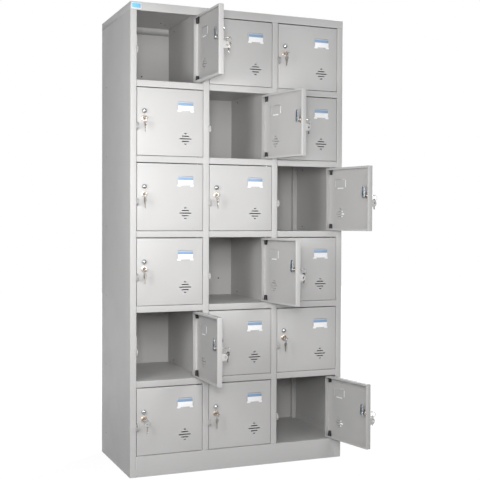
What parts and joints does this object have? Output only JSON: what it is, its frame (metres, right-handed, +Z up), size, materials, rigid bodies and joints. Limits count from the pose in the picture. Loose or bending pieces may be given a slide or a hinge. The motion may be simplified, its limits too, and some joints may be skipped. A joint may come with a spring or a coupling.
{
  "type": "cube locker",
  "caption": "Tall steel locker with a grid of small compartments, each with a pin-hinged door, a pull knob, a cam lock and padlock ears.",
  "frame": {"origin": "on the floor, in the middle of the front frame's plane, on the plinth's foot", "axes": "+X to the right as seen from the front, +Y from the front frame to the back panel, +Z up"},
  "size_m": [0.9574, 0.6894, 1.83],
  "materials": {
    "powder_coat": "semi-gloss light grey powder coat",
    "lock_metal": "nickel plated",
    "badge": "plain printed film"
  },
  "bodies": {
    "cabinet": {"top_panel": "powder_coat", "left_side_panel": "powder_coat", "right_side_panel": "powder_coat", "back_panel": "powder_coat", "left_partition": "powder_coat", "right_partition": "powder_coat", "base_panel": "powder_coat", "plinth": "powder_coat", "badge_plate": "badge", "shelf_r1_c1": "powder_coat", "shelf_r1_c2": "powder_coat", "shelf_r1_c3": "powder_coat", "shelf_r2_c1": "powder_coat", "shelf_r2_c2": "powder_coat", "shelf_r2_c3": "powder_coat", "shelf_r3_c1": "powder_coat", "shelf_r3_c2": "powder_coat", "shelf_r3_c3": "powder_coat", "shelf_r4_c1": "powder_coat", "shelf_r4_c2": "powder_coat", "shelf_r4_c3": "powder_coat", "shelf_r5_c1": "powder_coat", "shelf_r5_c2": "powder_coat", "shelf_r5_c3": "powder_coat"},
    "door_r1_c1": {"door_r1_c1": "powder_coat"},
    "door_r1_c2": {"door_r1_c2": "powder_coat"},
    "door_r1_c3": {"door_r1_c3": "powder_coat"},
    "door_r2_c1": {"door_r2_c1": "powder_coat"},
    "door_r2_c2": {"door_r2_c2": "powder_coat"},
    "door_r2_c3": {"door_r2_c3": "powder_coat"},
    "door_r3_c1": {"door_r3_c1": "powder_coat"},
    "door_r3_c2": {"door_r3_c2": "powder_coat"},
    "door_r3_c3": {"door_r3_c3": "powder_coat"},
    "door_r4_c1": {"door_r4_c1": "powder_coat"},
    "door_r4_c2": {"door_r4_c2": "powder_coat"},
    "door_r4_c3": {"door_r4_c3": "powder_coat"},
    "door_r5_c1": {"door_r5_c1": "powder_coat"},
    "door_r5_c2": {"door_r5_c2": "powder_coat"},
    "door_r5_c3": {"door_r5_c3": "powder_coat"},
    "door_r6_c1": {"door_r6_c1": "powder_coat"},
    "door_r6_c2": {"door_r6_c2": "powder_coat"},
    "door_r6_c3": {"door_r6_c3": "powder_coat"},
    "lock_r1_c1": {"lock_r1_c1": "lock_metal"},
    "lock_r1_c2": {"lock_r1_c2": "lock_metal"},
    "lock_r1_c3": {"lock_r1_c3": "lock_metal"},
    "lock_r2_c1": {"lock_r2_c1": "lock_metal"},
    "lock_r2_c2": {"lock_r2_c2": "lock_metal"},
    "lock_r2_c3": {"lock_r2_c3": "lock_metal"},
    "lock_r3_c1": {"lock_r3_c1": "lock_metal"},
    "lock_r3_c2": {"lock_r3_c2": "lock_metal"},
    "lock_r3_c3": {"lock_r3_c3": "lock_metal"},
    "lock_r4_c1": {"lock_r4_c1": "lock_metal"},
    "lock_r4_c2": {"lock_r4_c2": "lock_metal"},
    "lock_r4_c3": {"lock_r4_c3": "lock_metal"},
    "lock_r5_c1": {"lock_r5_c1": "lock_metal"},
    "lock_r5_c2": {"lock_r5_c2": "lock_metal"},
    "lock_r5_c3": {"lock_r5_c3": "lock_metal"},
    "lock_r6_c1": {"lock_r6_c1": "lock_metal"},
    "lock_r6_c2": {"lock_r6_c2": "lock_metal"},
    "lock_r6_c3": {"lock_r6_c3": "lock_metal"}
  },
  "joints": [
    {"name": "door_r1_c1_hinge", "type": "hinge", "parent": "cabinet", "child": "door_r1_c1", "pos_m": [-0.18283, 0.0085, 1.66452], "axis": [0, 0, 1], "range_deg": [-91.5, 18.5]},
    {"name": "door_r1_c2_hinge", "type": "hinge", "parent": "cabinet", "child": "door_r1_c2", "pos_m": [0.11383, 0.0085, 1.66452], "axis": [0, 0, 1], "range_deg": [0, 110]},
    {"name": "door_r1_c3_hinge", "type": "hinge", "parent": "cabinet", "child": "door_r1_c3", "pos_m": [0.4105, 0.0085, 1.66452], "axis": [0, 0, 1], "range_deg": [0, 110]},
    {"name": "door_r2_c1_hinge", "type": "hinge", "parent": "cabinet", "child": "door_r2_c1", "pos_m": [-0.18283, 0.0085, 1.37435], "axis": [0, 0, 1], "range_deg": [0, 110]},
    {"name": "door_r2_c2_hinge", "type": "hinge", "parent": "cabinet", "child": "door_r2_c2", "pos_m": [0.11383, 0.0085, 1.37435], "axis": [0, 0, 1], "range_deg": [-102.6, 7.4]},
    {"name": "door_r2_c3_hinge", "type": "hinge", "parent": "cabinet", "child": "door_r2_c3", "pos_m": [0.4105, 0.0085, 1.37435], "axis": [0, 0, 1], "range_deg": [0, 110]},
    {"name": "door_r3_c1_hinge", "type": "hinge", "parent": "cabinet", "child": "door_r3_c1", "pos_m": [-0.18283, 0.0085, 1.08418], "axis": [0, 0, 1], "range_deg": [0, 110]},
    {"name": "door_r3_c2_hinge", "type": "hinge", "parent": "cabinet", "child": "door_r3_c2", "pos_m": [0.11383, 0.0085, 1.08418], "axis": [0, 0, 1], "range_deg": [0, 110]},
    {"name": "door_r3_c3_hinge", "type": "hinge", "parent": "cabinet", "child": "door_r3_c3", "pos_m": [0.4105, 0.0085, 1.08418], "axis": [0, 0, 1], "range_deg": [-101.8, 8.2]},
    {"name": "door_r4_c1_hinge", "type": "hinge", "parent": "cabinet", "child": "door_r4_c1", "pos_m": [-0.18283, 0.0085, 0.79402], "axis": [0, 0, 1], "range_deg": [0, 110]},
    {"name": "door_r4_c2_hinge", "type": "hinge", "parent": "cabinet", "child": "door_r4_c2", "pos_m": [0.11383, 0.0085, 0.79402], "axis": [0, 0, 1], "range_deg": [-97, 13]},
    {"name": "door_r4_c3_hinge", "type": "hinge", "parent": "cabinet", "child": "door_r4_c3", "pos_m": [0.4105, 0.0085, 0.79402], "axis": [0, 0, 1], "range_deg": [0, 110]},
    {"name": "door_r5_c1_hinge", "type": "hinge", "parent": "cabinet", "child": "door_r5_c1", "pos_m": [-0.18283, 0.0085, 0.50385], "axis": [0, 0, 1], "range_deg": [-91.1, 18.9]},
    {"name": "door_r5_c2_hinge", "type": "hinge", "parent": "cabinet", "child": "door_r5_c2", "pos_m": [0.11383, 0.0085, 0.50385], "axis": [0, 0, 1], "range_deg": [0, 110]},
    {"name": "door_r5_c3_hinge", "type": "hinge", "parent": "cabinet", "child": "door_r5_c3", "pos_m": [0.4105, 0.0085, 0.50385], "axis": [0, 0, 1], "range_deg": [0, 110]},
    {"name": "door_r6_c1_hinge", "type": "hinge", "parent": "cabinet", "child": "door_r6_c1", "pos_m": [-0.18283, 0.0085, 0.21368], "axis": [0, 0, 1], "range_deg": [0, 110]},
    {"name": "door_r6_c2_hinge", "type": "hinge", "parent": "cabinet", "child": "door_r6_c2", "pos_m": [0.11383, 0.0085, 0.21368], "axis": [0, 0, 1], "range_deg": [0, 110]},
    {"name": "door_r6_c3_hinge", "type": "hinge", "parent": "cabinet", "child": "door_r6_c3", "pos_m": [0.4105, 0.0085, 0.21368], "axis": [0, 0, 1], "range_deg": [-101.3, 8.7]},
    {"name": "lock_r1_c1_turn", "type": "hinge", "parent": "door_r1_c1", "child": "lock_r1_c1", "pos_m": [-0.16859, -0.21057, 1.67583], "axis": [0.9997, 0.0262, 0], "range_deg": [0, 90]},
    {"name": "lock_r1_c2_turn", "type": "hinge", "parent": "door_r1_c2", "child": "lock_r1_c2", "pos_m": [-0.10553, 0, 1.67583], "axis": [0, -1, 0], "range_deg": [0, 90]},
    {"name": "lock_r1_c3_turn", "type": "hinge", "parent": "door_r1_c3", "child": "lock_r1_c3", "pos_m": [0.19113, 0, 1.67583], "axis": [0, -1, 0], "range_deg": [0, 90]},
    {"name": "lock_r2_c1_turn", "type": "hinge", "parent": "door_r2_c1", "child": "lock_r2_c1", "pos_m": [-0.4022, 0, 1.38567], "axis": [0, -1, 0], "range_deg": [0, 90]},
    {"name": "lock_r2_c2_turn", "type": "hinge", "parent": "door_r2_c2", "child": "lock_r2_c2", "pos_m": [0.16998, -0.20373, 1.38567], "axis": [0.9759, 0.2181, 0], "range_deg": [0, 90]},
    {"name": "lock_r2_c3_turn", "type": "hinge", "parent": "door_r2_c3", "child": "lock_r2_c3", "pos_m": [0.19113, 0, 1.38567], "axis": [0, -1, 0], "range_deg": [0, 90]},
    {"name": "lock_r3_c1_turn", "type": "hinge", "parent": "door_r3_c1", "child": "lock_r3_c1", "pos_m": [-0.4022, 0, 1.0955], "axis": [0, -1, 0], "range_deg": [0, 90]},
    {"name": "lock_r3_c2_turn", "type": "hinge", "parent": "door_r3_c2", "child": "lock_r3_c2", "pos_m": [-0.10553, 0, 1.0955], "axis": [0, -1, 0], "range_deg": [0, 90]},
    {"name": "lock_r3_c3_turn", "type": "hinge", "parent": "door_r3_c3", "child": "lock_r3_c3", "pos_m": [0.46368, -0.20449, 1.0955], "axis": [0.9789, 0.2045, 0], "range_deg": [0, 90]},
    {"name": "lock_r4_c1_turn", "type": "hinge", "parent": "door_r4_c1", "child": "lock_r4_c1", "pos_m": [-0.4022, 0, 0.80533], "axis": [0, -1, 0], "range_deg": [0, 90]},
    {"name": "lock_r4_c2_turn", "type": "hinge", "parent": "door_r4_c2", "child": "lock_r4_c2", "pos_m": [0.149, -0.2082, 0.80533], "axis": [0.9925, 0.1219, 0], "range_deg": [0, 90]},
    {"name": "lock_r4_c3_turn", "type": "hinge", "parent": "door_r4_c3", "child": "lock_r4_c3", "pos_m": [0.19113, 0, 0.80533], "axis": [0, -1, 0], "range_deg": [0, 90]},
    {"name": "lock_r5_c1_turn", "type": "hinge", "parent": "door_r5_c1", "child": "lock_r5_c1", "pos_m": [-0.17012, -0.21066, 0.51517], "axis": [0.9998, 0.0192, 0], "range_deg": [0, 90]},
    {"name": "lock_r5_c2_turn", "type": "hinge", "parent": "door_r5_c2", "child": "lock_r5_c2", "pos_m": [-0.10553, 0, 0.51517], "axis": [0, -1, 0], "range_deg": [0, 90]},
    {"name": "lock_r5_c3_turn", "type": "hinge", "parent": "door_r5_c3", "child": "lock_r5_c3", "pos_m": [0.19113, 0, 0.51517], "axis": [0, -1, 0], "range_deg": [0, 90]},
    {"name": "lock_r6_c1_turn", "type": "hinge", "parent": "door_r6_c1", "child": "lock_r6_c1", "pos_m": [-0.4022, 0, 0.225], "axis": [0, -1, 0], "range_deg": [0, 90]},
    {"name": "lock_r6_c2_turn", "type": "hinge", "parent": "door_r6_c2", "child": "lock_r6_c2", "pos_m": [-0.10553, 0, 0.225], "axis": [0, -1, 0], "range_deg": [0, 90]},
    {"name": "lock_r6_c3_turn", "type": "hinge", "parent": "door_r6_c3", "child": "lock_r6_c3", "pos_m": [0.46182, -0.20495, 0.225], "axis": [0.9806, 0.1959, 0], "range_deg": [0, 90]}
  ]
}
